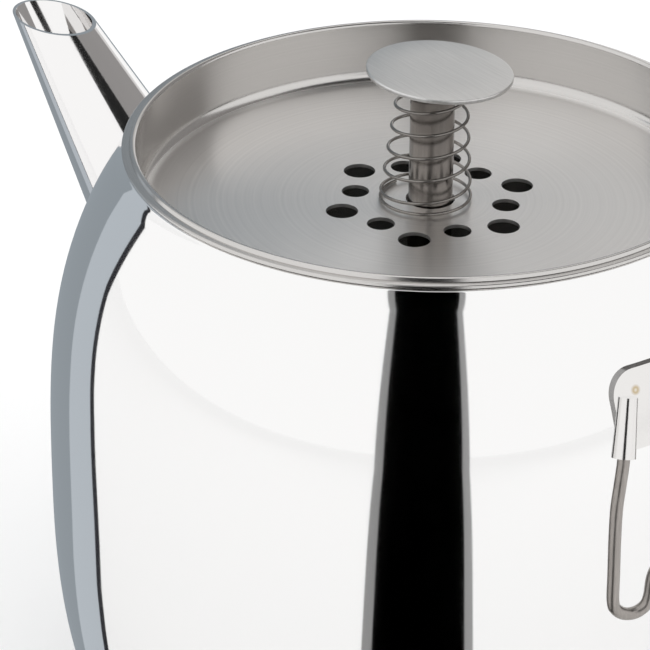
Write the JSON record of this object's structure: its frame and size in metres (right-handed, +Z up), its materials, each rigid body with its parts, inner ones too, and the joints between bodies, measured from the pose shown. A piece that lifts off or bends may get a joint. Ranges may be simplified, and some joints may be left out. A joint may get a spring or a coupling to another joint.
{
  "type": "coffee percolator",
  "caption": "Polished steel stove-top coffee percolator: barrel pot with long straight spout, wire handle, and a lift-out insert with a sprung riser tube and coffee basket.",
  "frame": {"origin": "centre of the pot's flat base, on the pot's axis", "axes": "+Z up along the pot's axis, +X from the axis towards the spout, the handle at -X"},
  "size_m": [0.273, 0.1668, 0.1735],
  "materials": {
    "polished_steel": "mirror-polished stainless steel",
    "brushed_steel": "turned and brushed stainless steel",
    "satin_steel": "satin drawn stainless steel",
    "wire_steel": "drawn bright steel wire"
  },
  "bodies": {
    "pot": {"pot_body": "polished_steel", "pot_base": "satin_steel", "spout": "polished_steel", "handle_bracket": "polished_steel", "wire_handle": "wire_steel"},
    "dish": {"spreader_dish": "brushed_steel", "basket_collar": "satin_steel", "conical_spring": "wire_steel"},
    "riser": {"press_disc": "brushed_steel", "riser_tube": "brushed_steel", "stop_collar": "satin_steel", "bell_foot": "satin_steel"},
    "basket": {"coffee_basket": "satin_steel", "basket_floor": "satin_steel", "basket_sleeve": "satin_steel"}
  },
  "joints": [
    {"name": "insert_lift", "type": "slide", "parent": "pot", "child": "dish", "axis": [0, 0, 1], "range_m": [0, 0.17]},
    {"name": "riser_press", "type": "slide", "parent": "dish", "child": "riser", "axis": [0, 0, 1], "range_m": [-0.0055, 0], "stiffness_N_per_m": 300, "springref_m": 0.01, "deforming": ["conical_spring"]},
    {"name": "basket_release", "type": "slide", "parent": "dish", "child": "basket", "axis": [0, 0, -1], "range_m": [0, 0.03]}
  ]
}
